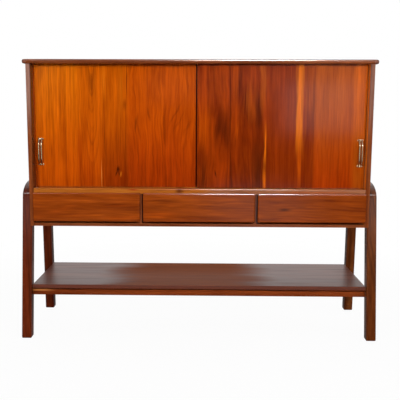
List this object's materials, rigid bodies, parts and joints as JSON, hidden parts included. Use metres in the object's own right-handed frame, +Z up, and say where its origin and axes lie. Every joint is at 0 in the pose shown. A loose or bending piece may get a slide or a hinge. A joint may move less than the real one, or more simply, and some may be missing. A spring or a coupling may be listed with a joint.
{
  "type": "highboard",
  "caption": "Wooden highboard with sliding doors over a row of lipped drawers, hung between raked leg frames with rounded shoulders that also carry an open shelf.",
  "frame": {"origin": "on the floor, under the centre of the object's box", "axes": "+X along the width towards the right door, -Y towards the user in front, +Z up"},
  "size_m": [1.4094, 0.468, 1.095],
  "materials": {
    "teak_top": "satin lacquer",
    "teak_case": "satin lacquer",
    "teak_doors": "satin lacquer",
    "teak_drawer_fronts": "satin lacquer",
    "teak_legs": "satin lacquer",
    "teak_shelf": "satin lacquer",
    "case_interior": "matt oil",
    "drawer_boxes": "bare beech",
    "back_plywood": "bare plywood",
    "beech_dowels": "bare",
    "handle_brass": "polished, aged",
    "screw_steel": "zinc plated"
  },
  "bodies": {
    "carcass": {"top_board": "teak_top", "side_panel_left": "teak_case", "side_panel_right": "teak_case", "door_floor": "teak_case", "case_bottom": "teak_case", "drawer_divider_left": "teak_case", "drawer_divider_right": "teak_case", "centre_partition": "case_interior", "inner_shelf_left": "case_interior", "inner_shelf_right": "case_interior", "shelf_pegs": "beech_dowels", "back_panel": "back_plywood", "back_screws": "screw_steel", "case_dowels": "beech_dowels", "drawer_glides": "beech_dowels", "front_leg_left": "teak_legs", "front_leg_right": "teak_legs", "rear_leg_left": "teak_legs", "rear_leg_right": "teak_legs", "frame_rail_left": "teak_legs", "frame_rail_right": "teak_legs", "frame_dowels": "beech_dowels", "frame_screws": "screw_steel", "lower_shelf": "teak_shelf", "shelf_front_rail": "teak_shelf", "shelf_rear_rail": "teak_shelf", "rail_dowels": "beech_dowels", "shelf_screws": "screw_steel"},
    "left_door": {"door_panel_left": "teak_doors", "handle_rods_left": "handle_brass", "handle_plates_left": "handle_brass", "handle_screws_left": "screw_steel"},
    "right_door": {"door_panel_right": "teak_doors", "handle_rods_right": "handle_brass", "handle_plates_right": "handle_brass", "handle_screws_right": "screw_steel"},
    "left_drawer": {"drawer_left_front": "teak_drawer_fronts", "drawer_left_side_left": "drawer_boxes", "drawer_left_side_right": "drawer_boxes", "drawer_left_back": "drawer_boxes", "drawer_left_bottom": "drawer_boxes"},
    "middle_drawer": {"drawer_middle_front": "teak_drawer_fronts", "drawer_middle_side_left": "drawer_boxes", "drawer_middle_side_right": "drawer_boxes", "drawer_middle_back": "drawer_boxes", "drawer_middle_bottom": "drawer_boxes"},
    "right_drawer": {"drawer_right_front": "teak_drawer_fronts", "drawer_right_side_left": "drawer_boxes", "drawer_right_side_right": "drawer_boxes", "drawer_right_back": "drawer_boxes", "drawer_right_bottom": "drawer_boxes"}
  },
  "joints": [
    {"name": "left_door_slide", "type": "slide", "parent": "carcass", "child": "left_door", "axis": [1, 0, 0], "range_m": [0, 0.6]},
    {"name": "right_door_slide", "type": "slide", "parent": "carcass", "child": "right_door", "axis": [1, 0, 0], "range_m": [-0.6, 0]},
    {"name": "left_drawer_slide", "type": "slide", "parent": "carcass", "child": "left_drawer", "axis": [0, -1, 0], "range_m": [0, 0.28]},
    {"name": "middle_drawer_slide", "type": "slide", "parent": "carcass", "child": "middle_drawer", "axis": [0, -1, 0], "range_m": [0, 0.28]},
    {"name": "right_drawer_slide", "type": "slide", "parent": "carcass", "child": "right_drawer", "axis": [0, -1, 0], "range_m": [0, 0.28]}
  ]
}
